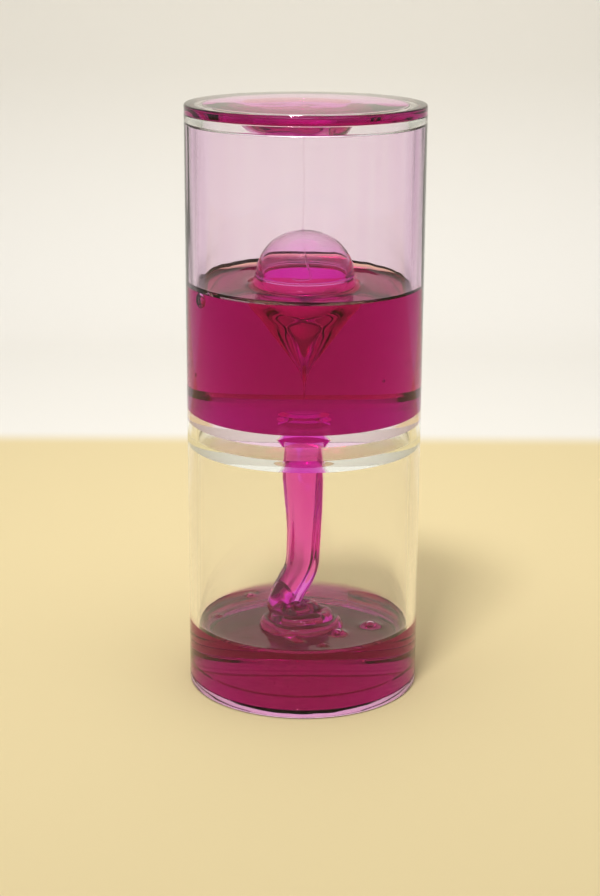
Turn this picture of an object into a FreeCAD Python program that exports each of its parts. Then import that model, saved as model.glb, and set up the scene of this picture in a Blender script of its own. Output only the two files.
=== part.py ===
import FreeCAD, Part
import math
import os
import Sketcher

# Liquid motion timer, in millimetres. A clear tube closed by two clear lids is split by two
# baffles that share one waisted orifice. A coloured viscous liquid drains through the
# orifice, while the air that it displaces rises as a bubble. +Z is up, and the origin is at
# the middle of the underside.

SIZES = [
    ("overall_height", 150.8, "underside of the lower lid to the top of the upper lid"),
    ("tube_outer_radius", 30.0, "outside of the tube and of both lids"),
    ("tube_wall", 2.8, "wall of the tube"),
    ("lid_flange_height", 2.4, "rim of a lid, up to the joint with the tube"),
    ("lid_plate_thickness", 1.0, "flat plate that closes a lid"),
    ("lid_spigot_wall", 1.75, "wall of the ring that stands in the tube"),
    ("lid_spigot_length", 2.8, "how far that ring reaches into the tube"),
    ("lid_fit_clearance", 0.05, "spigot to bore, on the radius"),
    ("lid_edge_bevel", 0.5, "bevel of a lid's outer edge"),
    ("divider_height", 69.03, "plane where the two baffles meet"),
    ("baffle_thickness", 3.0, "disc of a baffle"),
    ("baffle_gap", 3.4, "air space between the two discs"),
    ("baffle_fit_clearance", 0.05, "rim of a baffle to bore, on the radius"),
    ("collar_radius", 5.1, "outside of the collar at the waist"),
    ("collar_flare", 1.4, "cone between collar and disc"),
    ("orifice_entry_radius", 3.9, "orifice at a disc's chamber face, before rounding"),
    ("orifice_waist_radius", 3.5, "orifice where the baffles meet"),
    ("orifice_mouth_round", 1.0, "rounded mouth of the orifice"),
    ("liquid_clearance", 0.05, "liquid to plastic"),
    ("upper_fill_share", 0.414, "liquid's share of the upper chamber's height"),
    ("upper_wall_climb", 2.8, "how far the upper liquid climbs the wall"),
    ("bubble_radius", 12.6, "widest radius of the bubble at the surface"),
    ("bubble_shoulder_rise", 2.6, "height of that widest place above the surface"),
    ("bubble_dome_height", 10.9, "dome above its widest place"),
    ("bubble_skin", 0.4, "liquid skin of the dome"),
    ("bubble_tail_depth", 24.7, "pointed tail of the bubble below its widest place"),
    ("bubble_foot_round", 1.6, "liquid drawn up round the foot of the dome"),
    ("stream_swell_radius", 4.85, "stream where it is widest, below the orifice"),
    ("stream_radius", 4.05, "stream above its bend"),
    ("stream_bend_share", 0.335, "where the stream starts to lean, as a share of its fall"),
    ("stream_lean", 4.6, "sideways shift of the stream's foot"),
    ("pool_fill_share", 0.256, "pool's share of the lower chamber's height"),
    ("pool_wall_climb", 0.7, "how far the pool climbs the wall"),
    ("rope_radius", 1.9, "thickness of the coiled rope, as a radius"),
    ("rope_rise_radius", 2.05, "quarter turn from the stream's foot into the coil"),
    ("coil_first_radius", 3.9, "first half turn"),
    ("coil_second_radius", 6.45, "second half turn"),
    ("coil_third_radius", 8.6, "third half turn"),
    ("residue_layer", 1.4, "liquid left under the upper lid's plate"),
    ("residue_mound_radius", 14.5, "hanging mound in its middle"),
    ("residue_mound_depth", 6.9, "mound below the plate"),
    ("residue_nub_length", 1.1, "nub that the thread is drawn from"),
    ("thread_radius", 0.25, "thread between the nub and the bubble"),
]

doc = FreeCAD.newDocument("liquid_timer")
sheet = doc.addObject("Spreadsheet::Sheet", "dims")
for row, (alias, value, note) in enumerate(SIZES, start=1):
    sheet.set(f"A{row}", alias)
    sheet.set(f"B{row}", str(value))
    sheet.set(f"C{row}", note)
    sheet.setAlias(f"B{row}", alias)
doc.recompute()
vector = FreeCAD.Vector
full_turn = 360
half_turn = 180


def size(alias):
    """One value of the sheet, as a plain number."""
    return float(getattr(sheet, alias))


def plane(body, role):
    """A base plane of the body itself."""
    return next(part for part in body.Origin.OriginFeatures if part.Role == role)


def new_body(label):
    """An empty body that carries the name of the piece."""
    body = doc.addObject("PartDesign::Body", label)
    body.Label = label
    return body


def outline_sketch(body, name, corners):
    """A closed outline of straight edges: each corner is a radius and a height, as formulas."""
    sketch = body.newObject("Sketcher::SketchObject", name)
    sketch.AttachmentSupport = [(plane(body, "XZ_Plane"), "")]
    sketch.MapMode = "FlatFace"
    doc.recompute()
    places = [[float(sketch.evalExpression(formula)) for formula in corner] for corner in corners]
    count = len(places)
    for index, place in enumerate(places):
        after = places[(index + 1) % count]
        sketch.addGeometry(Part.LineSegment(vector(*place, 0), vector(*after, 0)), False)
    for index in range(count):
        sketch.addConstraint(Sketcher.Constraint("Coincident", index, 2, (index + 1) % count, 1))
    for index, corner in enumerate(corners):
        for kind, formula, place in zip(("DistanceX", "DistanceY"), corner, places[index]):
            number = sketch.addConstraint(Sketcher.Constraint(kind, -1, 1, index, 1, place))
            sketch.setExpression(f"Constraints[{number}]", formula)
    return sketch


def turned(body, name, sketch):
    """A full turn of the sketch round its own upright axis."""
    turn = body.newObject("PartDesign::Revolution", name)
    turn.Profile = sketch
    turn.ReferenceAxis = (sketch, ["V_Axis"])
    turn.Angle = full_turn
    sketch.Visibility = False
    doc.recompute()
    return turn


def ring_edge(feature, radius, height):
    """The name of the circular edge that lies nearest to a radius and a height."""
    def miss(item):
        edge = item[1]
        if not isinstance(edge.Curve, Part.Circle):
            return math.inf
        return abs(edge.Curve.Radius - radius) + abs(edge.Curve.Center.z - height)
    return "Edge" + str(min(enumerate(feature.Shape.Edges, start=1), key=miss)[0])


# The tube: one plain length of clear tube between the two lids.
tube = new_body("outer_tube")
tube_section = tube.newObject("Sketcher::SketchObject", "tube_section")
tube_section.AttachmentSupport = [(plane(tube, "XY_Plane"), "")]
tube_section.MapMode = "FlatFace"
for formula in ("dims.tube_outer_radius", "dims.tube_outer_radius - dims.tube_wall"):
    radius = float(tube_section.evalExpression(formula))
    ring = tube_section.addGeometry(Part.Circle(vector(), vector(0, 0, 1), radius), False)
    tube_section.addConstraint(Sketcher.Constraint("Coincident", ring, 3, -1, 1))
    number = tube_section.addConstraint(Sketcher.Constraint("Radius", ring, radius))
    tube_section.setExpression(f"Constraints[{number}]", formula)
tube_length = tube.newObject("PartDesign::Pad", "tube_length")
tube_length.Profile = tube_section
tube_length.setExpression("Length", "dims.overall_height - 2 * dims.lid_flange_height")
tube_section.Visibility = False
tube.setExpression("Placement.Base.z", "dims.lid_flange_height")
doc.recompute()

# The lids: two identical hollow mouldings. Each has a thin plate, a rim that carries on the
# tube's outside, and a spigot ring that stands in the tube's bore.
BORE = "(dims.tube_outer_radius - dims.tube_wall)"
SPIGOT_OUTSIDE = f"({BORE} - dims.lid_fit_clearance)"
RECESS = f"({SPIGOT_OUTSIDE} - dims.lid_spigot_wall)"
SPIGOT_END = "(dims.lid_flange_height + dims.lid_spigot_length)"


def make_lid(label):
    """A lid with its plate's outside at height 0 and its spigot upwards."""
    body = new_body(label)
    section = outline_sketch(body, label + "_section", [
        ("0", "0"),
        ("dims.tube_outer_radius", "0"),
        ("dims.tube_outer_radius", "dims.lid_flange_height"),
        (SPIGOT_OUTSIDE, "dims.lid_flange_height"),
        (SPIGOT_OUTSIDE, SPIGOT_END),
        (RECESS, SPIGOT_END),
        (RECESS, "dims.lid_plate_thickness"),
        ("0", "dims.lid_plate_thickness"),
    ])
    turn = turned(body, label + "_turn", section)
    bevel = body.newObject("PartDesign::Chamfer", label + "_edge")
    bevel.Base = (turn, [ring_edge(turn, size("tube_outer_radius"), 0)])
    bevel.Size = size("lid_edge_bevel")
    bevel.setExpression("Size", "dims.lid_edge_bevel")
    doc.recompute()
    return body


bottom_lid = make_lid("bottom_lid")
top_lid = make_lid("top_lid")
top_lid.Placement = FreeCAD.Placement(vector(), FreeCAD.Rotation(vector(1, 0, 0), half_turn))
top_lid.setExpression("Placement.Base.z", "dims.overall_height")

# The baffles: two identical mouldings, back to back. Each is a disc with a collar on its
# back, and the orifice tapers through both to a waist where the collars meet.
DISC_BACK = "(-dims.baffle_gap / 2)"
DISC_FACE = "(-dims.baffle_gap / 2 - dims.baffle_thickness)"


def make_baffle(label):
    """A baffle with its chamber face downwards and its collar's end at height 0."""
    body = new_body(label)
    section = outline_sketch(body, label + "_section", [
        ("dims.orifice_waist_radius", "0"),
        ("dims.collar_radius", "0"),
        ("dims.collar_radius", f"{DISC_BACK} + dims.collar_flare"),
        ("dims.collar_radius + dims.collar_flare", DISC_BACK),
        (f"{BORE} - dims.baffle_fit_clearance", DISC_BACK),
        (f"{BORE} - dims.baffle_fit_clearance", DISC_FACE),
        ("dims.orifice_entry_radius", DISC_FACE),
    ])
    turn = turned(body, label + "_turn", section)
    mouth = body.newObject("PartDesign::Fillet", label + "_mouth")
    face = -size("baffle_gap") / 2 - size("baffle_thickness")
    mouth.Base = (turn, [ring_edge(turn, size("orifice_entry_radius"), face)])
    mouth.Radius = size("orifice_mouth_round")
    mouth.setExpression("Radius", "dims.orifice_mouth_round")
    doc.recompute()
    return body


lower_baffle = make_baffle("lower_baffle")
upper_baffle = make_baffle("upper_baffle")
upper_baffle.Placement = FreeCAD.Placement(vector(), FreeCAD.Rotation(vector(1, 0, 0), half_turn))
for baffle in (lower_baffle, upper_baffle):
    baffle.setExpression("Placement.Base.z", "dims.divider_height")
doc.recompute()

# The liquid's forms are turned from outlines with few corners, or swept, from places that
# come from the sheet: a soft form that changes all the time needs no finer one.
clearance = size("liquid_clearance")
wall_radius = size("tube_outer_radius") - size("tube_wall") - clearance
half_divider = size("baffle_gap") / 2 + size("baffle_thickness")
upper_floor = size("divider_height") + half_divider
lower_ceiling = size("divider_height") - half_divider
lid_inside = size("lid_plate_thickness")
ceiling = size("overall_height") - lid_inside
recess_radius = (size("tube_outer_radius") - size("tube_wall") - size("lid_fit_clearance")
                 - size("lid_spigot_wall") - clearance)
quarter = 90
tube_sides = 10


def at(radius, height):
    """A place in the half plane that an outline is drawn in."""
    return vector(radius, 0, height)


def ringed(centre, radius, turn):
    """A place on a circle in that half plane, at an angle in degrees."""
    return centre + at(math.cos(math.radians(turn)), math.sin(math.radians(turn))) * radius


def arc_about(centre, radius, first, last):
    """A true arc in that half plane."""
    return Part.Arc(*[ringed(centre, radius, turn) for turn in (first, (first + last) / 2, last)]).toShape()


def turned_solid(places):
    """The solid that a closed outline gives in a full turn."""
    outline = Part.makePolygon(places + [places[0]])
    return Part.Face(outline).revolve(vector(), vector(0, 0, 1), full_turn)


def swept(path, start, radius):
    """One unbroken tube along a path that starts straight down, with narrow flat sides."""
    turns = [full_turn * number / tube_sides for number in range(tube_sides)]
    corners = [start + vector(math.cos(math.radians(turn)), math.sin(math.radians(turn)), 0) * radius
               for turn in turns]
    ring = Part.makePolygon(corners + [corners[0]])
    sweep = Part.BRepOffsetAPI.MakePipeShell(path)
    sweep.add(ring)
    sweep.build()
    sweep.makeSolid()
    return sweep.shape()


def keep(label, shape):
    """A free form as an object of the document."""
    piece = doc.addObject("Part::Feature", label)
    piece.Label = label
    piece.Shape = shape
    piece.Placement = FreeCAD.Placement()
    return piece


# The upper liquid: it climbs the wall and the foot of the bubble, and the bubble hollows it
# down to a pointed tail.
surface = upper_floor + (ceiling - upper_floor) * size("upper_fill_share")
climb = size("upper_wall_climb")
foot = size("bubble_foot_round")
bubble_outer = size("bubble_radius")
skin = size("bubble_skin")
bubble_inner = bubble_outer - skin
shoulder = surface + size("bubble_shoulder_rise")
tail = size("bubble_tail_depth")
goo_floor = upper_floor + clearance
tail_radius_shares = [1, 0.9, 0.4, 0]
tail_depth_shares = [0, 0.3, 0.64, 1]
upper_goo = keep("upper_goo", turned_solid(
    [at(0, goo_floor), at(wall_radius, goo_floor)]
    + [at(wall_radius, surface + climb), at(wall_radius - climb / 2, surface),
       at(bubble_outer + foot, surface), at(bubble_outer, shoulder)]
    + [at(bubble_inner * wide, shoulder - tail * deep)
       for wide, deep in zip(tail_radius_shares, tail_depth_shares)]
))

# The dome of the bubble: a thin skin of liquid that stands on the upper liquid.
dome_height = size("bubble_dome_height")
dome_turn_shares = [0, 0.36, 0.7]


def dome_line(radius, height):
    """Places from the dome's widest place up to its top."""
    turns = [math.radians(quarter * share) for share in dome_turn_shares]
    places = [at(radius * math.cos(turn), shoulder + height * math.sin(turn)) for turn in turns]
    return places + [at(0, shoulder + height)]


bubble_dome = keep("bubble_dome", turned_solid(
    dome_line(bubble_outer, dome_height) + dome_line(bubble_inner, dome_height - skin)[::-1]
))

# The stream: it fills the orifice, swells a little below it, narrows as it falls, and leans
# aside at its foot. The mouths' rounding is worked out from the taper that it meets.
waist = size("orifice_waist_radius")
mouth_round = size("orifice_mouth_round")
taper = (size("orifice_entry_radius") - waist) / half_divider
slant = math.hypot(1, taper)
mouth_radius = size("orifice_entry_radius") - taper * mouth_round + mouth_round * slant
stream_radius = size("stream_radius")
swell = size("stream_swell_radius") - stream_radius
pool_surface = lid_inside + (lower_ceiling - lid_inside) * size("pool_fill_share")
bend_height = pool_surface + (lower_ceiling - pool_surface) * size("stream_bend_share")
fall = lower_ceiling - bend_height
fall_shares = [0.28, 0.6, 1]
swell_shares = [1, 0, 0]


def mouth_line(height, up):
    """The liquid's edge round one mouth, from its flat face to the tapered orifice: one step
    that only touches the rounding, so that it stays clear of it."""
    reach = mouth_round + clearance
    corner = reach * math.tan(math.radians(quarter / 4))
    return [at(mouth_radius - corner, height + clearance * up),
            at(mouth_radius - reach, height - (mouth_round - corner) * up)]


column = turned_solid(
    [at(0, upper_floor + clearance)]
    + mouth_line(upper_floor, 1)
    + [at(waist - clearance * slant, size("divider_height"))]
    + mouth_line(lower_ceiling, -1)[::-1]
    + [at(stream_radius + swell * wide, lower_ceiling - fall * down)
       for wide, down in zip(swell_shares, fall_shares)]
    + [at(0, bend_height)]
)

# The foot of the stream leans in two equal arcs and meets the coiled rope face to face.
rope_radius = size("rope_radius")
rope_height = pool_surface + clearance + rope_radius
rise = size("rope_rise_radius")
foot_height = rope_height + rise
lean = size("stream_lean")
reach = (bend_height - foot_height) / 2
bend_radius = (reach ** 2 + (lean / 2) ** 2) / lean
bend_turn = math.degrees(math.asin(reach / bend_radius))
lean_path = Part.Wire([
    arc_about(at(-bend_radius, bend_height), bend_radius, 0, -bend_turn),
    arc_about(at(bend_radius - lean, foot_height), bend_radius, half_turn - bend_turn, half_turn),
])
leaning = swept(lean_path, at(0, bend_height), stream_radius)
goo_stream = keep("goo_stream", column.fuse(leaning).removeSplitter())


def flat_arc(centre, radius, first):
    """Half a turn at the rope's height, from an angle in degrees."""
    ends = [centre + vector(math.cos(math.radians(turn)), math.sin(math.radians(turn)), 0) * radius
            for turn in (first, first + quarter, first + half_turn)]
    return Part.Arc(*ends).toShape()


# The coiled rope: it turns out of the stream's foot and lies on the pool in three half
# turns of growing radius, as one unbroken tube.
rise_centre = vector(-lean, 0, foot_height)
rope_start = rise_centre + vector(0, rise, 0)
rise_middle = rise_centre + vector(0, rise, -rise) * math.sqrt(1 / 2)
coil_end = rise_centre - vector(0, 0, rise)
coil_edges = [Part.Arc(rope_start, rise_middle, coil_end).toShape()]
side = 1
for alias in ("coil_first_radius", "coil_second_radius", "coil_third_radius"):
    turn_radius = size(alias)
    turn_centre = coil_end + vector(turn_radius * side, 0, 0)
    coil_edges.append(flat_arc(turn_centre, turn_radius, half_turn if side > 0 else 0))
    coil_end = turn_centre + vector(turn_radius * side, 0, 0)
    side = -side
goo_coils = keep("goo_coils", swept(Part.Wire(coil_edges), rope_start, rope_radius))


def least_gap(edges, radius, spacing):
    """The least gap between stretches of a tube that lie apart along its own length."""
    places = []
    walked = 0
    for edge in edges:
        steps = max(2, round(edge.Length / spacing))
        first, last = edge.ParameterRange
        for step in range(steps):
            place = edge.valueAt(first + (last - first) * step / steps)
            places.append((walked + edge.Length * step / steps, place))
        walked += edge.Length
    apart = math.pi * radius * 2
    return min((one[1] - two[1]).Length for one in places for two in places
               if two[0] - one[0] > apart) - radius * 2


gap_spacing_share = 0.2
rope_gap = least_gap(coil_edges, rope_radius, rope_radius * gap_spacing_share)
print(f"least gap between the rope's turns: {rope_gap:.2f} mm")

# The pool: it fills the lower lid's hollow and the bore above it, and climbs the wall.
ledge = size("lid_flange_height") + size("lid_spigot_length") + clearance
pool_climb = size("pool_wall_climb")
lower_pool = keep("lower_pool", turned_solid(
    [at(0, lid_inside + clearance), at(recess_radius, lid_inside + clearance),
     at(recess_radius, ledge), at(wall_radius, ledge)]
    + [at(wall_radius, pool_surface + pool_climb), at(wall_radius - pool_climb, pool_surface),
       at(0, pool_surface)]
))

# The residue: a thin layer in the upper lid's hollow, with a hanging mound and a nub.
residue_top = ceiling - clearance
layer = size("residue_layer")
mound = size("residue_mound_depth")
mound_radius = size("residue_mound_radius")
nub = size("residue_nub_length")
nub_end = residue_top - mound - nub
mound_radius_shares = [1, 0.85, 0.15]
mound_depth_shares = [0, 0.85, 1]
lid_residue = keep("lid_residue", turned_solid(
    [at(0, nub_end), at(0, residue_top), at(recess_radius, residue_top),
     at(recess_radius, residue_top - layer)]
    + [at(mound_radius * wide, residue_top - layer - (mound - layer) * deep)
       for wide, deep in zip(mound_radius_shares, mound_depth_shares)]
    + [at(size("thread_radius"), nub_end)]
))

# The thread: the last of the residue, drawn down to the top of the bubble.
thread = doc.addObject("Part::Cylinder", "goo_thread")
thread.Label = "goo_thread"
CEILING = "(dims.overall_height - dims.lid_plate_thickness)"
UPPER_FLOOR = "(dims.divider_height + dims.baffle_gap / 2 + dims.baffle_thickness)"
DOME_TOP = (f"({UPPER_FLOOR} + ({CEILING} - {UPPER_FLOOR}) * dims.upper_fill_share"
            " + dims.bubble_shoulder_rise + dims.bubble_dome_height + dims.liquid_clearance)")
NUB_END = (f"({CEILING} - dims.liquid_clearance - dims.residue_mound_depth"
           " - dims.residue_nub_length)")
thread.setExpression("Radius", "dims.thread_radius")
thread.setExpression("Height", f"{NUB_END} - {DOME_TOP}")
thread.setExpression("Placement.Base.z", DOME_TOP)
doc.recompute()

# Every object is checked before any file is written.
pieces = [tube, bottom_lid, top_lid, lower_baffle, upper_baffle, upper_goo, bubble_dome,
          goo_stream, goo_coils, lower_pool, lid_residue, thread]
for item in doc.Objects:
    if any(word in ("Invalid", "Error") for word in item.State):
        raise RuntimeError("the object did not build: " + item.Label)
for piece in pieces:
    if piece.Shape.isNull() or not piece.Shape.isValid() or piece.Shape.Volume <= 0:
        raise RuntimeError("the piece is not sound: " + piece.Label)
    if len(piece.Shape.Solids) != 1:
        raise RuntimeError("the piece is not one solid: " + piece.Label)
os.makedirs("parts", exist_ok=True)
for piece in pieces:
    piece.Shape.exportStep(f"parts/{piece.Label}.step")
    box = piece.Shape.BoundBox
    print(f"{piece.Label}: {piece.Shape.Volume:.0f} mm3, z {box.ZMin:.2f} to {box.ZMax:.2f}")
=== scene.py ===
import bmesh
import bpy
import math
import numpy as np
from mathutils import Matrix, Vector, noise


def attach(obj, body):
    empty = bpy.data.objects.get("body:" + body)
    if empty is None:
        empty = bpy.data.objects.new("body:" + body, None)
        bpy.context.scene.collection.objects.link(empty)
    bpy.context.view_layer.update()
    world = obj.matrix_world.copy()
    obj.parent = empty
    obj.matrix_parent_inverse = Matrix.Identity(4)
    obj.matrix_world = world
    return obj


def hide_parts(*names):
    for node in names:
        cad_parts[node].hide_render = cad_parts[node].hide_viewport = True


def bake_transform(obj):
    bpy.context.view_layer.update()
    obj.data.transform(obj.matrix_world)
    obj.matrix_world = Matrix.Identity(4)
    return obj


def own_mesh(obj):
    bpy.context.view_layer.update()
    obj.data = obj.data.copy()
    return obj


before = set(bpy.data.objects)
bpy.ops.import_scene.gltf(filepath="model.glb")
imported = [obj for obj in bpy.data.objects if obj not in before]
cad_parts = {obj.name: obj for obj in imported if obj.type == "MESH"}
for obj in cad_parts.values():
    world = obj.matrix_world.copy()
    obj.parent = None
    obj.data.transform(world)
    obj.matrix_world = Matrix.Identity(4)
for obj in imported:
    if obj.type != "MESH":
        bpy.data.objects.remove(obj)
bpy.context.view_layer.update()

# The tube is one length of clear extruded acrylic, polished inside and out. Its ends are cut
# square with the sharp edge taken off, and the lids and the divider are bonded into its bore.
MM = 0.001
OVERALL_HEIGHT = 150.8
TUBE_RADIUS = 30.0
TUBE_BORE = 27.2
TUBE_FOOT = 2.4
TUBE_HEAD = 148.4
TUBE_EDGE = 0.22
SPIGOT_TOP = 5.2
DIVIDER_MIDDLE = 69.03
GAP_HALF = 1.7
DISC_THICKNESS = 3.0
DIVIDER_HALF = GAP_HALF + DISC_THICKNESS
LOWER_CEILING = DIVIDER_MIDDLE - DIVIDER_HALF
UPPER_FLOOR = DIVIDER_MIDDLE + DIVIDER_HALF
UPPER_SPIGOT = OVERALL_HEIGHT - SPIGOT_TOP
BOND = 0.05
SLACK = 0.01
TURNS = 256
ROUND_STEPS = 6
CREASE = math.radians(32)
CASE = "case"
ACRYLIC_IOR = 1.49
GEL_IOR = 1.37


def linear(code):
    """The linear colour of an sRGB hex value."""
    parts = [int(code[start:start + 2], 16) / 255 for start in (0, 2, 4)]
    return [part / 12.92 if part <= 0.04045 else ((part + 0.055) / 1.055) ** 2.4
            for part in parts] + [1]


def add_node(tree, kind, settings, feeds):
    """One node with its settings; each feed is a plain value or another node's output."""
    node = tree.nodes.new(kind)
    for name, value in settings.items():
        setattr(node, name, value)
    for name, source in feeds.items():
        if isinstance(source, bpy.types.NodeSocket):
            tree.links.new(source, node.inputs[name])
        else:
            node.inputs[name].default_value = source
    return node


def new_material(name, finish):
    """A material with these plain values on its shader, its node tree and that shader."""
    material = bpy.data.materials.new(name)
    material.use_nodes = True
    tree = material.node_tree
    shader = tree.nodes["Principled BSDF"]
    for socket, value in finish.items():
        shader.inputs[socket].default_value = value
    return material, tree, shader


def add_relief(tree, shader, sizes, detail, strength, depth):
    """Soft relief. Its waves have these sizes along X, Y and Z and this depth, in mm."""
    place = add_node(tree, "ShaderNodeTexCoord", {}, {})
    spaced = add_node(tree, "ShaderNodeMapping", {}, {
        "Vector": place.outputs["Object"],
        "Scale": [1 / (size * MM) for size in sizes],
    })
    waves = add_node(tree, "ShaderNodeTexNoise", {}, {
        "Vector": spaced.outputs["Vector"],
        "Scale": 1.0,
        "Detail": detail,
    })
    relief = add_node(tree, "ShaderNodeBump", {}, {
        "Height": waves.outputs["Fac"],
        "Strength": strength,
        "Distance": depth * MM,
    })
    tree.links.new(relief.outputs["Normal"], shader.inputs["Normal"])


def add_haze(tree, shader, size, detail, full_at, most):
    """Patches of haze of this size in mm, whose roughness is the most where they are full."""
    place = add_node(tree, "ShaderNodeTexCoord", {}, {})
    patches = add_node(tree, "ShaderNodeTexNoise", {}, {
        "Vector": place.outputs["Object"],
        "Scale": 1 / (size * MM),
        "Detail": detail,
    })
    haze = add_node(tree, "ShaderNodeMapRange", {}, {
        "Value": patches.outputs["Fac"],
        "From Min": 0.45,
        "From Max": full_at,
        "To Min": 0.0,
        "To Max": most,
    })
    tree.links.new(haze.outputs["Result"], shader.inputs["Roughness"])


def rounded(corners):
    """An outline whose corners of radius, height and rounding are turned into short arcs."""
    places = []
    for index, (across, height, rounding) in enumerate(corners):
        here = Vector((across, height))
        if not rounding:
            places.append(tuple(here))
            continue
        before = (Vector(corners[index - 1][:2]) - here).normalized()
        after = (Vector(corners[(index + 1) % len(corners)][:2]) - here).normalized()
        opening = before.angle(after)
        cut = rounding / math.tan(opening / 2)
        centre = here + (before + after).normalized() * rounding / math.sin(opening / 2)
        first, last = here + before * cut - centre, here + after * cut - centre
        swing = math.pi - opening
        for step in range(ROUND_STEPS + 1):
            share = step / ROUND_STEPS
            mix = first * math.sin((1 - share) * swing) + last * math.sin(share * swing)
            places.append(tuple(centre + mix / math.sin(swing)))
    return places


def add_ring(mesh, sides, reach, height, middle=(0, 0)):
    """A level ring of vertices in mm. Reach and height are plain, or one for each vertex."""
    angles = np.linspace(0, math.tau, sides, endpoint=False)
    across = np.cos(angles) * reach + middle[0]
    deep = np.sin(angles) * reach + middle[1]
    up = height(across, deep) if callable(height) else angles * 0 + height
    return [mesh.verts.new(Vector(place) * MM) for place in zip(across, deep, up)]


def add_skin(mesh, rings):
    """Faces from each ring to the next; a ring of one vertex is a pole. Normals go outwards."""
    for one, two in zip(rings, rings[1:]):
        sides = max(len(one), len(two))
        for index in range(sides if sides > 1 else 0):
            after = index + 1
            corners = [one[index % len(one)], one[after % len(one)],
                       two[after % len(two)], two[index % len(two)]]
            mesh.faces.new(list(dict.fromkeys(corners)))
    bmesh.ops.recalc_face_normals(mesh, faces=mesh.faces)


def turned(outline):
    """A mesh in progress that a closed outline of radii and heights gives in a full turn."""
    mesh = bmesh.new()
    rings = [add_ring(mesh, TURNS if across > 0 else 1, across, height)
             for across, height in outline]
    add_skin(mesh, rings + rings[:1])
    return mesh


def add_piece(name, mesh, material, body, nodes):
    """The finished object of a mesh in progress, on its body and for the CAD nodes it shows."""
    data = bpy.data.meshes.new(name)
    mesh.to_mesh(data)
    mesh.free()
    data.shade_smooth()
    data.set_sharp_from_angle(angle=CREASE)
    data.materials.append(material)
    piece = bpy.data.objects.new(name, data)
    bpy.context.scene.collection.objects.link(piece)
    if nodes:
        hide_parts(*nodes)
    if body:
        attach(piece, body)
    return piece


def touching(piece, state, ratio, touches):
    """Where a face touches gel or plastic, its material bends light only by this ratio."""
    own = piece.data.materials[0]
    material = bpy.data.materials.get(own.name + state)
    if not material:
        material = own.copy()
        material.name = own.name + state
        tree = material.node_tree
        shader = tree.nodes["Principled BSDF"]
        for link in list(shader.inputs["Roughness"].links):
            tree.links.remove(link)
        shader.inputs["Roughness"].default_value = 0.0
        shader.inputs["IOR"].default_value = ratio
    piece.data.materials.append(material)
    number = len(piece.data.materials) - 1
    for face in piece.data.polygons:
        if touches(face.center.xy.length / MM, face.center.z / MM):
            face.material_index = number


# Extruded acrylic: clear and bright, with faint draw lines along its length, and a touch of
# haze from handling.
extruded_acrylic, tree, shader = new_material("extruded_acrylic", {
    "Base Color": linear("FDFEFD"),
    "IOR": ACRYLIC_IOR,
    "Transmission Weight": 1.0,
})
add_relief(tree, shader, (3.5, 3.5, 120), detail=2.0, strength=0.25, depth=0.02)
add_haze(tree, shader, 14, detail=4.0, full_at=0.8, most=0.035)

# The bore is cut into bands at the heights where what touches it changes.
contact_heights = (UPPER_SPIGOT, UPPER_FLOOR, DIVIDER_MIDDLE + GAP_HALF,
                   DIVIDER_MIDDLE - GAP_HALF, LOWER_CEILING, SPIGOT_TOP)
tube = add_piece("tube_clear", turned(rounded([
    (TUBE_BORE, TUBE_FOOT, 0),
    (TUBE_RADIUS, TUBE_FOOT, TUBE_EDGE),
    (TUBE_RADIUS, TUBE_HEAD, TUBE_EDGE),
    (TUBE_BORE, TUBE_HEAD, 0),
    *[(TUBE_BORE, height, 0) for height in contact_heights],
])), extruded_acrylic, CASE, ["outer_tube"])
WETTED = ACRYLIC_IOR / GEL_IOR
touching(tube, "_wetted", WETTED, lambda across, up: (
    across < TUBE_BORE
    and (SPIGOT_TOP < up < LOWER_CEILING or UPPER_FLOOR < up < UPPER_SPIGOT)))
touching(tube, "_bonded", 1.0, lambda across, up: (
    across < TUBE_BORE
    and (up < SPIGOT_TOP or up > UPPER_SPIGOT
         or GAP_HALF < abs(up - DIVIDER_MIDDLE) < DIVIDER_HALF)
    or across < TUBE_RADIUS - TUBE_EDGE
    and not TUBE_FOOT + SLACK < up < TUBE_HEAD - SLACK))

# The two lids are identical clear mouldings: a thin plate, a rim that carries on the tube's
# outside, and a spigot ring bonded into the bore. Their edges are rounded by the mould.
LID_RIM = 2.4
LID_PLATE = 1.0
SPIGOT_INSIDE = 25.4
LID_EDGE = 0.5
LID_FILLET = 0.35
RESIDUE_LEVEL = 148.3

# Moulded acrylic: clear, with the slow waves of the melt's flow and a slight even haze.
moulded_acrylic, tree, shader = new_material("moulded_acrylic", {
    "Base Color": linear("FCFDFC"),
    "IOR": ACRYLIC_IOR,
    "Transmission Weight": 1.0,
})
add_relief(tree, shader, (9, 9, 9), detail=1.0, strength=0.3, depth=0.05)
add_haze(tree, shader, 6, detail=5.0, full_at=0.85, most=0.05)

lid_outline = rounded([
    (0, 0, 0),
    (TUBE_RADIUS, 0, LID_EDGE),
    (TUBE_RADIUS, LID_RIM + BOND, TUBE_EDGE),
    (TUBE_BORE + BOND, LID_RIM + BOND, 0),
    (TUBE_BORE + BOND, SPIGOT_TOP, 0),
    (SPIGOT_INSIDE, SPIGOT_TOP, LID_FILLET),
    (SPIGOT_INSIDE, OVERALL_HEIGHT - RESIDUE_LEVEL, 0),
    (SPIGOT_INSIDE, LID_PLATE, LID_FILLET),
    (0, LID_PLATE, 0),
])
lower_lid = add_piece("lid_lower", turned(lid_outline), moulded_acrylic, CASE,
                      ["bottom_lid"])
upper_lid = add_piece(
    "lid_upper", turned([(across, OVERALL_HEIGHT - height) for across, height in lid_outline]),
    moulded_acrylic, CASE, ["top_lid"])
touching(lower_lid, "_wetted", WETTED, lambda across, up: (
    across < TUBE_BORE and up > LID_PLATE - SLACK))
touching(upper_lid, "_wetted", WETTED, lambda across, up: (
    across < TUBE_BORE and RESIDUE_LEVEL < up < OVERALL_HEIGHT - LID_PLATE + SLACK))
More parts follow.
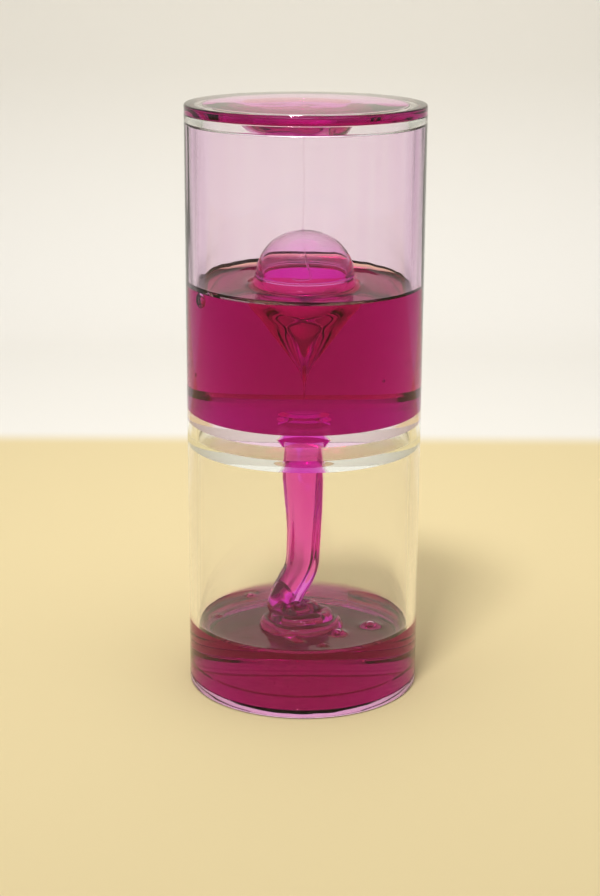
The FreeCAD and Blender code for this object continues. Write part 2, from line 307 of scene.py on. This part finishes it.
for lid in (lower_lid, upper_lid):
    touching(lid, "_bonded", 1.0, lambda across, up: (
        TUBE_BORE < across < TUBE_RADIUS - TUBE_EDGE and LID_RIM < up < OVERALL_HEIGHT - LID_RIM))

# The divider is two identical clear mouldings bonded back to back. Each is a disc with a
# collar, and the orifice runs through both: a waist, and a soft funnel at either mouth.
COLLAR_RADIUS = 5.1
WAIST_RADIUS = 3.4
MOUTH_RADIUS = 4.85
MOUTH_POWER = 2.6
MOUTH_STEPS = 24


def orifice(allowance):
    """Radii and distances from the waist, from the waist out to a chamber face."""
    places = []
    for step in range(MOUTH_STEPS + 1):
        share = step / MOUTH_STEPS
        across = WAIST_RADIUS + (MOUTH_RADIUS - WAIST_RADIUS) * share ** MOUTH_POWER
        places.append((across + allowance, DIVIDER_HALF * share))
    return places


baffle_outline = orifice(0) + [
    (TUBE_BORE + BOND, DIVIDER_HALF),
    (TUBE_BORE + BOND, GAP_HALF),
    (COLLAR_RADIUS, GAP_HALF),
    (COLLAR_RADIUS, -BOND / 2),
    (WAIST_RADIUS, -BOND / 2),
]
for name, way, node in [("baffle_upper", 1, "upper_baffle"), ("baffle_lower", -1, "lower_baffle")]:
    baffle = add_piece(
        name, turned([(across, DIVIDER_MIDDLE + away * way) for across, away in baffle_outline]),
        moulded_acrylic, CASE, [node])
    touching(baffle, "_wetted", WETTED, lambda across, up: (
        across < TUBE_BORE and (up > UPPER_FLOOR - SLACK or across < COLLAR_RADIUS - SLACK)))
    touching(baffle, "_bonded", 1.0, lambda across, up: (
        across > TUBE_BORE or abs(up - DIVIDER_MIDDLE) < BOND))

# The upper liquid is a thick clear gel with a magenta dye. It climbs the wall of the bore,
# swells up round the foot of the bubble, and the bubble hollows it down to a pointed tail.
UPPER_BODY = "upper_liquid"
UPPER_LEVEL = 105.2
UPPER_CLIMB = 1.5
CLIMB_REACH = 1.1
UPPER_TILT = 0.013
SURFACE_STEPS = 60
BUBBLE_RADIUS = 12.55
BUBBLE_FOOT = 107.9
BUBBLE_WALL = 1.4
FOOT_REACH = 0.9
CURVE_STEPS = 5
bubble_cavity = [(11.15, 107.9), (11.35, 105.8), (11.2, 103.2), (10.0, 100.6), (8.2, 98.0),
                 (6.5, 95.0), (4.75, 92.0), (3.05, 89.0), (1.6, 86.4), (0.7, 84.2), (0.3, 82.0),
                 (0.15, 79.5), (0.12, 76.5)]
upper_cavities = [
    ((-23.4, -10.4, 103.6), (1.5, 2.1, 2.0), 4),
    ((-25.2, -9.6, 84.5), (0.35, 0.35, 0.5), 3),
    ((18.4, -19.2, 85.6), (0.4, 0.4, 0.4), 3),
]


def absorption(tree, per_mm):
    """Plain dye in the bulk, from how much red, green and blue each millimetre takes."""
    strongest = max(per_mm)
    dye = add_node(tree, "ShaderNodeVolumeAbsorption", {}, {
        "Color": [1 - share / strongest for share in per_mm] + [1],
        "Density": strongest / MM,
    })
    tree.links.new(dye.outputs["Volume"], tree.nodes["Material Output"].inputs["Volume"])


def bend_at_air(tree, shader):
    """Gel bends light where it meets air. On plastic, the wetted plastic face has the step."""
    contact = add_node(tree, "ShaderNodeAttribute", {"attribute_name": "on_plastic"}, {})
    bend = add_node(tree, "ShaderNodeMapRange", {}, {
        "Value": contact.outputs["Fac"],
        "To Min": GEL_IOR,
        "To Max": 1.0,
    })
    tree.links.new(bend.outputs["Result"], shader.inputs["IOR"])


def lies_on_plastic(piece, touches):
    """Marks the faces of a piece of gel that lie on plastic or inside more gel."""
    marks = piece.data.attributes.new("on_plastic", "FLOAT", "FACE")
    for face, mark in zip(piece.data.polygons, marks.data):
        mark.value = float(touches(face.center.xy.length / MM, face.center.z / MM))


def curved(places, steps):
    """A smooth line through places in two or more dimensions, with more places on it."""
    places = [Vector(item) for item in places]
    padded = [places[0] * 2 - places[1]] + places + [places[-1] * 2 - places[-2]]
    line = []
    for before, here, after, beyond in zip(padded, padded[1:], padded[2:], padded[3:]):
        for step in range(steps):
            share = step / steps
            line.append((here * 2 + (after - before) * share
                         + (before * 2 - here * 5 + after * 4 - beyond) * share ** 2
                         + (here * 3 - before - after * 3 + beyond) * share ** 3) / 2)
    return line + [places[-1]]


def add_cavity(mesh, centre, radii, divisions):
    """A small air bubble inside a mesh of gel: a closed shell whose faces look inwards."""
    made = bmesh.ops.create_icosphere(mesh, subdivisions=divisions, radius=1)
    for vert in made["verts"]:
        vert.co = Vector([(middle + part * radius) * MM
                          for middle, part, radius in zip(centre, vert.co, radii)])
    faces = {face for vert in made["verts"] for face in vert.link_faces}
    bmesh.ops.reverse_faces(mesh, faces=list(faces))


# Dyed gel: a thick sugar and glycerine syrup, wet and glossy. All of its colour comes from
# the depth that the light goes through, and its surface has a faint slow ripple.
gel_finish = {
    "Base Color": linear("FFFFFF"),
    "Roughness": 0.0,
    "IOR": GEL_IOR,
    "Transmission Weight": 1.0,
}
dyed_gel, tree, shader = new_material("dyed_gel", gel_finish)
add_relief(tree, shader, (7, 7, 7), detail=1.0, strength=0.2, depth=0.03)
absorption(tree, per_mm=(0.018, 0.265, 0.04))
bend_at_air(tree, shader)

gel_wall = TUBE_BORE + BOND
foot_outer = BUBBLE_RADIUS - BOND
upper_outline = [(0, UPPER_FLOOR - BOND), (gel_wall, UPPER_FLOOR - BOND)]
for step in range(SURFACE_STEPS + 1):
    share = step / SURFACE_STEPS
    across = gel_wall + (foot_outer - gel_wall) * (1 - math.cos(math.pi * share)) / 2
    rise = (UPPER_CLIMB * math.exp((across - gel_wall) / CLIMB_REACH)
            + (BUBBLE_FOOT - UPPER_LEVEL) * math.exp((foot_outer - across) / FOOT_REACH))
    upper_outline.append((across, UPPER_LEVEL + rise))
upper_outline += [tuple(item) for item in curved(bubble_cavity, CURVE_STEPS)]
upper_outline.append((0, bubble_cavity[-1][1]))
mesh = turned(upper_outline)
for vert in mesh.verts:
    height = vert.co.z / MM
    wall_share = max(0, (vert.co.xy.length / MM - BUBBLE_RADIUS) / (gel_wall - BUBBLE_RADIUS))
    if height > UPPER_LEVEL - UPPER_CLIMB and wall_share > 0:
        vert.co.z -= UPPER_TILT * vert.co.x * wall_share
for cavity in upper_cavities:
    add_cavity(mesh, *cavity)
upper_goo = add_piece("gel_upper", mesh, dyed_gel, CASE, ["upper_goo"])
lies_on_plastic(upper_goo, lambda across, up: across > TUBE_BORE or up < UPPER_FLOOR)
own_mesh(upper_goo)

# The dome of the bubble is a skin of the same gel that stands on the upper liquid, thin at
# its top and thick at its foot, which dips into the ridge that the liquid draws up round it.
DOME_HEIGHT = 10.8
DOME_SKIN_TOP = 0.25
DOME_FOOT_DIP = 0.5
DOME_STEPS = 32
outside = []
inside = []
for step in range(DOME_STEPS + 1):
    swing = math.pi / 2 * step / DOME_STEPS
    across = math.cos(swing) if step < DOME_STEPS else 0
    outside.append((BUBBLE_RADIUS * across, BUBBLE_FOOT + DOME_HEIGHT * math.sin(swing)))
    skin = DOME_SKIN_TOP + (BUBBLE_WALL - DOME_SKIN_TOP) * (1 - math.sin(swing)) ** 2
    inside.append(((BUBBLE_RADIUS - skin) * across,
                   BUBBLE_FOOT + (DOME_HEIGHT - skin) * math.sin(swing)))
dome_outline = ([(BUBBLE_RADIUS, BUBBLE_FOOT - DOME_FOOT_DIP)] + outside + inside[::-1]
                + [(BUBBLE_RADIUS - BUBBLE_WALL, BUBBLE_FOOT - DOME_FOOT_DIP)])

# The skin's gel is the same, a little deeper in colour, and ripples more as it drains.
gel_skin, tree, shader = new_material("dyed_gel_skin", gel_finish)
add_relief(tree, shader, (5, 5, 5), detail=1.0, strength=0.5, depth=0.12)
absorption(tree, per_mm=(0.02, 0.30, 0.05))
add_piece("bubble_skin", turned(dome_outline), gel_skin, UPPER_BODY,
          ["bubble_dome"])

# The stream fills the orifice, swells a little below it, narrows as it falls, and folds
# aside at its foot. It is one unbroken piece of gel from the upper mouth to the pile.
LOWER_BODY = "lower_liquid"
STREAM_SIDES = 96
STREAM_TOP_DIP = 0.35
FLUTE_START = 9.0
FLUTE_DEPTH = 0.42
FLUTE_TWIST = 22.0
flutes = [(2, 1.0, 0.5, 0), (3, 0.6, 0.0, 1), (7, 0.45, 0.0, -1)]
stream_falls = [(64.33, 0.0, 0.0, 4.7), (62.6, 0.05, 0.0, 4.62), (60.0, 0.08, 0.0, 4.72),
                (55.6, 0.1, 0.0, 4.86), (51.5, 0.22, 0.0, 4.66), (47.3, 0.34, 0.0, 4.42),
                (44.0, 0.32, 0.0, 4.22), (41.0, 0.3, 0.0, 4.1), (36.5, 0.1, 0.0, 4.02),
                (32.4, -0.2, 0.0, 4.05), (29.4, -1.2, 0.0, 4.3), (26.6, -2.7, -0.2, 4.45),
                (24.0, -4.1, -0.6, 4.2), (21.6, -4.7, -1.2, 3.7), (19.4, -4.9, -1.8, 3.3),
                (17.6, -4.9, -2.2, 2.8)]
mesh = bmesh.new()
rings = [add_ring(mesh, STREAM_SIDES, MOUTH_RADIUS, UPPER_FLOOR + STREAM_TOP_DIP)]
for across, away in orifice(BOND)[::-1]:
    rings.append(add_ring(mesh, STREAM_SIDES, across, DIVIDER_MIDDLE + away))
for across, away in orifice(BOND)[1:-1]:
    rings.append(add_ring(mesh, STREAM_SIDES, across, DIVIDER_MIDDLE - away))
turns = np.linspace(0, math.tau, STREAM_SIDES, endpoint=False)
for up, aside, deep, across in curved(stream_falls, CURVE_STEPS):
    wave = sum(strength * np.cos(turns * lobes + phase + way * up / FLUTE_TWIST)
               for lobes, strength, phase, way in flutes)
    flute = min(1, max(0, (LOWER_CEILING - up) / FLUTE_START)) * FLUTE_DEPTH
    rings.append(add_ring(mesh, STREAM_SIDES, across + flute * wave, up, (aside, deep)))
mesh.faces.new(rings[0])
mesh.faces.new(rings[-1])
add_skin(mesh, rings)
stream = add_piece("gel_stream", mesh, dyed_gel, None, ["goo_stream"])
lies_on_plastic(stream, lambda across, up: up > LOWER_CEILING)
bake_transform(stream)

# The folds are the foot of the stream, thinned to a rope that lays itself down in loops. The
# newest loop lies on top, and the older ones spread and sink into the lower liquid.
FOLD_SIDES = 28
fold_line = [
    (-3.6, -0.2, 24.8, 2.7), (-6.0, -1.4, 23.0, 2.7), (-6.7, -4.4, 21.4, 2.35),
    (-3.9, -7.3, 20.9, 2.05), (-0.3, -7.0, 21.1, 1.95), (2.4, -4.7, 21.2, 1.85),
    (1.2, -1.9, 21.0, 1.85), (-2.2, -1.6, 20.2, 1.9), (-5.5, -3.8, 19.5, 2.0),
    (-6.3, -8.0, 19.0, 2.05), (-2.4, -10.7, 19.1, 2.0), (1.6, -9.7, 19.5, 1.95),
    (5.5, -7.6, 19.1, 2.05), (5.6, -3.4, 19.3, 1.95), (2.2, -0.8, 18.8, 2.0),
    (-3.2, 0.4, 18.2, 2.05), (-7.7, -1.8, 17.7, 2.1), (-9.1, -6.5, 17.3, 2.15),
    (-7.1, -11.2, 17.3, 2.1), (-2.2, -13.1, 17.2, 2.15), (3.2, -12.4, 17.4, 2.05),
    (7.2, -9.2, 17.2, 2.15), (8.2, -4.6, 17.2, 2.05), (5.6, -0.8, 16.8, 2.1),
    (2.0, 0.8, 15.6, 1.9),
]


def add_rope(name, places, sides, body, nodes):
    """A round rope of gel along places with their radii, in millimetres."""
    mesh = bmesh.new()
    line = curved(places, CURVE_STEPS)
    heading = (line[1].xyz - line[0].xyz).normalized()
    turn = heading.to_track_quat("Z", "Y")
    rings = []
    for index, item in enumerate(line):
        ahead = line[min(index + 1, len(line) - 1)].xyz - line[max(index - 1, 0)].xyz
        ahead.normalize()
        turn = heading.rotation_difference(ahead) @ turn
        heading = ahead
        ring = []
        for number in range(sides):
            angle = math.tau * number / sides
            offset = turn @ Vector((math.cos(angle), math.sin(angle), 0)) * item.w
            ring.append(mesh.verts.new((item.xyz + offset) * MM))
        rings.append(ring)
    mesh.faces.new(rings[0])
    mesh.faces.new(rings[-1])
    add_skin(mesh, rings)
    return add_piece(name, mesh, dyed_gel, body, nodes)


add_rope("gel_folds", fold_line, FOLD_SIDES, LOWER_BODY, ["goo_coils"])

# The lower liquid fills the lower lid's hollow and the bore above it. The stream piles up on
# it in soft rope folds that sink away, and air bubbles and specks lie in it.
POOL_LEVEL = 17.2
POOL_CLIMB = 0.75
POOL_CLIMB_REACH = 0.7
POOL_RIM_STEPS = 18
PILE_REACH = 22.0
PILE_SPACING = 0.3
ROPE_RADIUS = 1.95
ROPE_STEEP = 3.0
MELT = 3.2
SWELL_WIDTH = 1.3
SWELL_HEIGHT = 0.95
BUBBLE_SINK = 0.2
BUBBLE_SIZE = 0.8
SPECK_SEED = 7
PATCH_STEPS = 12
rope_folds = [
    [(-4.5, 1.2, 17.0), (-8.3, -0.8, 17.1), (-9.0, -5.5, 17.0), (-7.0, -10.2, 16.9),
     (-2.5, -12.6, 16.9), (2.6, -12.0, 17.0), (6.8, -9.2, 17.1), (8.2, -5.0, 17.1),
     (6.0, -1.6, 17.2), (2.5, 0.2, 17.2)],
    [(-5.4, -0.6, 18.4), (-6.2, -4.2, 18.5), (-4.4, -8.2, 18.2), (0.2, -9.4, 18.2),
     (4.4, -7.6, 18.3), (5.0, -4.4, 18.5), (2.6, -1.6, 18.6), (-0.6, -1.0, 18.8)],
    [(-4.6, -2.4, 19.4), (-3.4, -5.0, 19.5), (-0.6, -6.2, 19.3), (1.6, -4.6, 19.4),
     (0.6, -2.8, 19.5)],
    [(-3.2, -12.6, 17.0), (-2.4, -16.0, 16.3), (-0.8, -18.2, 15.8)],
]
surface_bubbles = [(17.3, -6.8, 1.6), (8.8, -12.6, 1.45), (5.1, -21.5, 0.8), (-14.5, 16.7, 0.8),
                   (-22.3, -0.1, 0.7)]
sunken_bubble = ((14.5, -20.5, 12.6), (0.6, 0.5, 0.75), 3)


def rope_height(places, across, deep):
    """The height of one rope's back over level places: its round top, then a steep side."""
    best = np.full(across.shape, -100.0)
    for start, end in zip(places, places[1:]):
        run = end - start
        share = ((across - start[0]) * run[0] + (deep - start[1]) * run[1]) / (
            run[0] ** 2 + run[1] ** 2)
        share = np.clip(share, 0, 1)
        away = np.hypot(across - start[0] - run[0] * share, deep - start[1] - run[1] * share)
        middle = start[2] + run[2] * share
        back = np.where(away < ROPE_RADIUS,
                        np.sqrt(np.maximum(ROPE_RADIUS ** 2 - away ** 2, 0)),
                        (ROPE_RADIUS - away) * ROPE_STEEP)
        best = np.maximum(best, middle + back)
    return best


def pool_height(across, deep):
    """The height of the lower liquid's surface over level places, in millimetres."""
    away = np.hypot(across, deep)
    level = POOL_LEVEL + POOL_CLIMB * np.exp((away - gel_wall) / POOL_CLIMB_REACH)
    for middle_x, middle_y, bubble in surface_bubbles:
        apart = np.hypot(across - middle_x, deep - middle_y) / (bubble * SWELL_WIDTH)
        level = level + bubble * SWELL_HEIGHT * np.exp(-apart ** 2)
    total = np.exp(MELT * (level - POOL_LEVEL))
    for fold in rope_folds:
        line = [np.array(item) for item in curved(fold, CURVE_STEPS)]
        total += np.exp(MELT * (rope_height(line, across, deep) - POOL_LEVEL))
    return POOL_LEVEL + np.log(total) / MELT


pool_radii = list(np.arange(PILE_SPACING, PILE_REACH, PILE_SPACING))
pool_radii += [gel_wall - (gel_wall - PILE_REACH) * (1 - share) ** 2
               for share in np.linspace(0, 1, POOL_RIM_STEPS)]
recess = SPIGOT_INSIDE + BOND
mesh = bmesh.new()
rings = [add_ring(mesh, 1, 0, pool_height)]
rings += [add_ring(mesh, TURNS, across, pool_height) for across in pool_radii]
rings.append(add_ring(mesh, TURNS, gel_wall, SPIGOT_TOP - BOND))
rings.append(add_ring(mesh, TURNS, recess, SPIGOT_TOP - BOND))
rings.append(add_ring(mesh, TURNS, recess, LID_PLATE - BOND))
rings.append(add_ring(mesh, 1, 0, LID_PLATE - BOND))
add_skin(mesh, rings)
for middle_x, middle_y, bubble in surface_bubbles:
    add_cavity(mesh, (middle_x, middle_y, POOL_LEVEL - bubble * BUBBLE_SINK),
               [bubble * BUBBLE_SIZE] * 3, 4)
add_cavity(mesh, *sunken_bubble)

# The specks are sown by geometry nodes over upright patches of a cylinder: its radius, its
# lower and upper height, its first and last degree, specks per square metre, and the largest.
speck_patches = [
    (24.6, 6.5, 13.5, 238, 275, 3.0e5, 0.26),
    (22.0, 6.0, 12.0, 225, 320, 0.6e5, 0.22),
    (20.0, 8.0, 14.5, 200, 340, 0.4e5, 0.2),
]
speck_tree = bpy.data.node_groups.new("air_specks", "GeometryNodeTree")
speck_tree.interface.new_socket("Geometry", in_out="INPUT", socket_type="NodeSocketGeometry")
speck_inputs = {}
for name, value in [("Per Square Metre", 4.0e5), ("Smallest", 0.1 * MM), ("Largest", 0.3 * MM)]:
    socket = speck_tree.interface.new_socket(name, in_out="INPUT", socket_type="NodeSocketFloat")
    socket.default_value = value
    speck_inputs[name] = socket.identifier
speck_tree.interface.new_socket("Geometry", in_out="OUTPUT", socket_type="NodeSocketGeometry")
given = add_node(speck_tree, "NodeGroupInput", {}, {})
sown = add_node(speck_tree, "GeometryNodeDistributePointsOnFaces", {}, {
    "Mesh": given.outputs["Geometry"],
    "Density": given.outputs["Per Square Metre"],
    "Seed": SPECK_SEED,
})
ball = add_node(speck_tree, "GeometryNodeMeshIcoSphere", {}, {"Radius": 1.0, "Subdivisions": 2})
spread = add_node(speck_tree, "FunctionNodeRandomValue", {"data_type": "FLOAT"}, {
    2: given.outputs["Smallest"],
    3: given.outputs["Largest"],
    "Seed": SPECK_SEED,
})
placed = add_node(speck_tree, "GeometryNodeInstanceOnPoints", {}, {
    "Points": sown.outputs["Points"],
    "Instance": ball.outputs["Mesh"],
    "Scale": spread.outputs[1],
})
real = add_node(speck_tree, "GeometryNodeRealizeInstances", {}, {
    "Geometry": placed.outputs["Instances"],
})
hollow = add_node(speck_tree, "GeometryNodeFlipFaces", {}, {"Mesh": real.outputs["Geometry"]})
wet = add_node(speck_tree, "GeometryNodeSetMaterial", {}, {
    "Geometry": hollow.outputs["Mesh"],
    "Material": dyed_gel,
})
add_node(speck_tree, "NodeGroupOutput", {}, {"Geometry": wet.outputs["Geometry"]})
for across, low, high, first, last, density, largest in speck_patches:
    turns = [math.radians(first + (last - first) * step / PATCH_STEPS)
             for step in range(PATCH_STEPS + 1)]
    corners = [(math.cos(turn) * across * MM, math.sin(turn) * across * MM, up * MM)
               for up in (low, high) for turn in turns]
    data = bpy.data.meshes.new("speck_patch")
    data.from_pydata(corners, [], [
        (index, index + 1, len(turns) + index + 1, len(turns) + index)
        for index in range(PATCH_STEPS)])
    patch = bpy.data.objects.new("speck_patch", data)
    bpy.context.scene.collection.objects.link(patch)
    live = patch.modifiers.new("air_specks", "NODES")
    live.node_group = speck_tree
    live[speck_inputs["Per Square Metre"]] = density
    live[speck_inputs["Largest"]] = largest * MM
    graph = bpy.context.evaluated_depsgraph_get()
    mesh.from_mesh(bpy.data.meshes.new_from_object(patch.evaluated_get(graph)))
    bpy.data.objects.remove(patch)
pool = add_piece("gel_pool", mesh, dyed_gel, None, ["lower_pool"])
lies_on_plastic(pool, lambda across, up: across > TUBE_BORE or up < SPIGOT_TOP)
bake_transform(pool)

# The residue under the upper lid is the last of the gel in the recess: a thin layer, a soft
# hanging mound, and the nub from which a hair-thin thread is drawn down to the bubble.
RESIDUE_TOP = OVERALL_HEIGHT - LID_PLATE + BOND
RESIDUE_STEPS = 70
RESIDUE_INNER = 0.3
MOUND_MIDDLE = (-2.3, 0.0)
MOUND_HALF = (14.6, 12.5)
MOUND_DEPTH = 5.0
MOUND_EDGE = 9
WAVE_SIZE = 6
WAVE_DEPTH = 0.4
residue_drops = [(8.0, -2.0, 4.2, 0.9), (-0.4, 0.0, 0.8, 1.5)]


def residue_height(across, deep):
    """The height of the residue's underside over level places, in millimetres."""
    away = np.hypot((across - MOUND_MIDDLE[0]) / MOUND_HALF[0],
                    (deep - MOUND_MIDDLE[1]) / MOUND_HALF[1])
    drop = MOUND_DEPTH / (1 + np.exp((away - 1) * MOUND_EDGE))
    for middle_x, middle_y, reach, depth in residue_drops:
        apart = ((across - middle_x) ** 2 + (deep - middle_y) ** 2) / reach ** 2
        drop = drop + depth * np.exp(-apart)
    wave = np.array([noise.noise(Vector((*place, 0)) / WAVE_SIZE)
                     for place in zip(across, deep)]) * WAVE_DEPTH
    return RESIDUE_LEVEL - drop + wave * np.minimum(1, drop)


mesh = bmesh.new()
rings = [add_ring(mesh, 1, 0, RESIDUE_TOP), add_ring(mesh, TURNS, recess, RESIDUE_TOP)]
rings += [add_ring(mesh, TURNS, across, residue_height)
          for across in np.linspace(RESIDUE_INNER, recess, RESIDUE_STEPS)[::-1]]
rings.append(add_ring(mesh, 1, 0, residue_height))
add_skin(mesh, rings)
residue = add_piece("gel_residue", mesh, dyed_gel, CASE, ["lid_residue"])
lies_on_plastic(residue, lambda across, up: (
    across > SPIGOT_INSIDE or up > OVERALL_HEIGHT - LID_PLATE))

# The thread is drawn out as fine as a hair, a little thicker at both of its ends. A strand of
# it hangs on inside the bubble and curls over the liquid.
THREAD_HEAD = 142.6
THREAD_FOOT = 118.5
THREAD_SIDES = 12
thread_line = [(-0.4, 0.0, THREAD_HEAD, 0.5), (-0.4, 0.0, 141.2, 0.2), (-0.38, 0.0, 138.0, 0.12),
               (-0.2, 0.0, 130.0, 0.1), (-0.3, 0.0, 122.0, 0.11), (-0.4, 0.0, 119.6, 0.13),
               (-0.4, 0.0, THREAD_FOOT, 0.25)]
strand_line = [(-0.3, 0.0, 118.3, 0.3), (-0.2, -0.2, 116.5, 0.16), (0.1, -0.4, 113.6, 0.15),
               (0.5, -0.8, 110.6, 0.2), (1.2, -1.4, 108.0, 0.22), (1.3, -2.4, 106.4, 0.24),
               (-0.2, -3.9, 106.5, 0.26), (-2.0, -4.4, 106.6, 0.24), (-3.1, -3.2, 106.6, 0.2)]
thread = add_rope("gel_thread", thread_line, THREAD_SIDES, None, ["goo_thread"])
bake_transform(thread)
add_rope("gel_strand", strand_line, THREAD_SIDES, UPPER_BODY, [])

# The wall films are what the gel leaves on the bore as it drains: a tinted coat in the upper
# chamber, a little thicker along its streaks, and one too thin to tint in the lower chamber.
FILM_ROWS = 40
STREAK_CIRCLE = 9
STREAK_LENGTH = 45

# The film's gel is the same with a stronger tint, and its relief runs down in fine streaks.
film_gel, tree, shader = new_material("dyed_gel_film", gel_finish)
add_relief(tree, shader, (2.4, 2.4, 60), detail=2.0, strength=0.3, depth=0.05)
absorption(tree, per_mm=(0.20, 0.75, 0.22))
bend_at_air(tree, shader)


def add_film(name, foot, head, coat, streak, root):
    """A coat between two heights, rooted in the bore's wall, whose foot follows a liquid."""
    # Noise that is read round a circle gives streaks that meet themselves after a full turn.
    mesh = bmesh.new()
    turns = np.linspace(0, math.tau, TURNS, endpoint=False)
    rings = []
    for height in np.linspace(foot, head, FILM_ROWS + 1):
        wave = np.array([noise.noise(Vector((math.cos(turn) * STREAK_CIRCLE,
                                             math.sin(turn) * STREAK_CIRCLE,
                                             height / STREAK_LENGTH))) for turn in turns])
        rings.append(add_ring(mesh, TURNS, TUBE_BORE - coat - streak * wave, height))
    rings += [add_ring(mesh, TURNS, TUBE_BORE + root, height) for height in (head, foot)]
    add_skin(mesh, rings + rings[:1])
    film = add_piece(name, mesh, film_gel, None, [])
    lies_on_plastic(film, lambda across, up: across > TUBE_BORE)
    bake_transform(film)


add_film("gel_film", foot=105.8, head=145.55, coat=0.11, streak=0.05, root=BOND)
add_film("gel_film_lower", foot=17.0, head=LOWER_CEILING, coat=0.01, streak=0.003,
         root=0.005)

# The stage is a sheet painted matte, pale cream under the timer and off-white behind it, that
# sweeps up at the back.
STAGE_HALF = 1.4
STAGE_DROP = 0.0001
CREAM_END = 0.23
CREAM_BLUR = 0.01
WALL_PLACE = 0.5
WALL_RISE = 1.5
SWEEP = 0.12
SWEEP_STEPS = 12

# Matte paint: an even dull surface with a fine roller grain.
stage_paint, tree, shader = new_material("matte_paint_stage", {"Roughness": 0.8})
add_relief(tree, shader, (1.5, 1.5, 1.5), detail=2.0, strength=0.05, depth=0.05)
place = add_node(tree, "ShaderNodeTexCoord", {}, {})
depth = add_node(tree, "ShaderNodeSeparateXYZ", {}, {"Vector": place.outputs["Object"]})
far_share = add_node(tree, "ShaderNodeMapRange", {"interpolation_type": "SMOOTHSTEP"}, {
    "Value": depth.outputs["Y"],
    "From Min": CREAM_END - CREAM_BLUR,
    "From Max": CREAM_END + CREAM_BLUR,
})
paint = add_node(tree, "ShaderNodeMix", {"data_type": "RGBA"}, {
    0: far_share.outputs["Result"],
    6: linear("DCCDA4"),
    7: linear("E6E4DF"),
})
tree.links.new(paint.outputs[2], shader.inputs["Base Color"])
sweep_line = [(-STAGE_HALF, -STAGE_DROP)]
for step in range(SWEEP_STEPS + 1):
    swing = math.pi / 2 * step / SWEEP_STEPS
    sweep_line.append((WALL_PLACE - SWEEP + SWEEP * math.sin(swing),
                       SWEEP * (1 - math.cos(swing)) - STAGE_DROP))
sweep_line.append((WALL_PLACE, WALL_RISE))
data = bpy.data.meshes.new("stage")
corners = [(side * STAGE_HALF, deep, up) for deep, up in sweep_line for side in (-1, 1)]
data.from_pydata(corners, [], [(row * 2, row * 2 + 1, row * 2 + 3, row * 2 + 2)
                               for row in range(len(sweep_line) - 1)])
data.shade_smooth()
data.materials.append(stage_paint)
stage = bpy.data.objects.new("stage", data)
bpy.context.scene.collection.objects.link(stage)

# Soft studio light: a bright even surround does most of it. A small soft box high in front on
# the left gives the highlights, a broad one hangs behind the timer, and one lights the wall.
soft_boxes = [
    ("key_box", 0.6, 0.16, 60, (-0.12, -0.42, 0.95), (0.0, 0.1, 0.0)),
    ("back_box", 0.2, 0.7, 75, (-0.1, 0.35, 1.05), (0.0, 0.32, 0.0)),
    ("wall_box", 0.55, 0.5, 110, (0.0, 0.0, 0.75), (0.0, 0.5, 0.3)),
]
for name, energy, width, spread, spot, aim in soft_boxes:
    light = bpy.data.lights.new(name, "AREA")
    light.energy = energy
    light.size = width
    light.spread = math.radians(spread)
    holder = bpy.data.objects.new(name, light)
    bpy.context.scene.collection.objects.link(holder)
    holder.location = spot
    holder.rotation_euler = (Vector(aim) - Vector(spot)).to_track_quat("-Z", "Y").to_euler()
world = bpy.data.worlds.new("surround")
bpy.context.scene.world = world
world.use_nodes = True
surround = world.node_tree.nodes["Background"]
surround.inputs["Color"].default_value = (1.0, 0.98, 0.95, 1.0)
surround.inputs["Strength"].default_value = 0.78

# The camera stands where the photograph was taken: a little above the timer, looking down.
# The bounces are enough for light to cross both liquids and run along the divider's discs.
FRAME_TALL = 896
FOCAL_PIXELS = 1885.0
SENSOR = 24.0
CAMERA_PLACE = (-1.0, -468.3, 197.65)
PITCH = math.radians(16.09)
ROLL = math.radians(0.284)
camera = bpy.data.cameras.new("camera")
camera.sensor_fit = "VERTICAL"
camera.sensor_height = SENSOR
camera.lens = FOCAL_PIXELS * SENSOR / FRAME_TALL
camera.clip_start = 0.01
viewer = bpy.data.objects.new("camera", camera)
bpy.context.scene.collection.objects.link(viewer)
ahead = Vector((0, math.cos(PITCH), -math.sin(PITCH)))
right = Vector((1, 0, 0))
viewer.matrix_world = (
    Matrix.Translation(Vector(CAMERA_PLACE) * MM)
    @ Matrix((right, right.cross(ahead), -ahead)).transposed().to_4x4()
    @ Matrix.Rotation(ROLL, 4, "Z"))
scene = bpy.context.scene
scene.camera = viewer
scene.view_settings.view_transform = "Standard"
scene.view_settings.gamma = 0.84
scene.cycles.max_bounces = 28
scene.cycles.transmission_bounces = 28
scene.cycles.glossy_bounces = 12
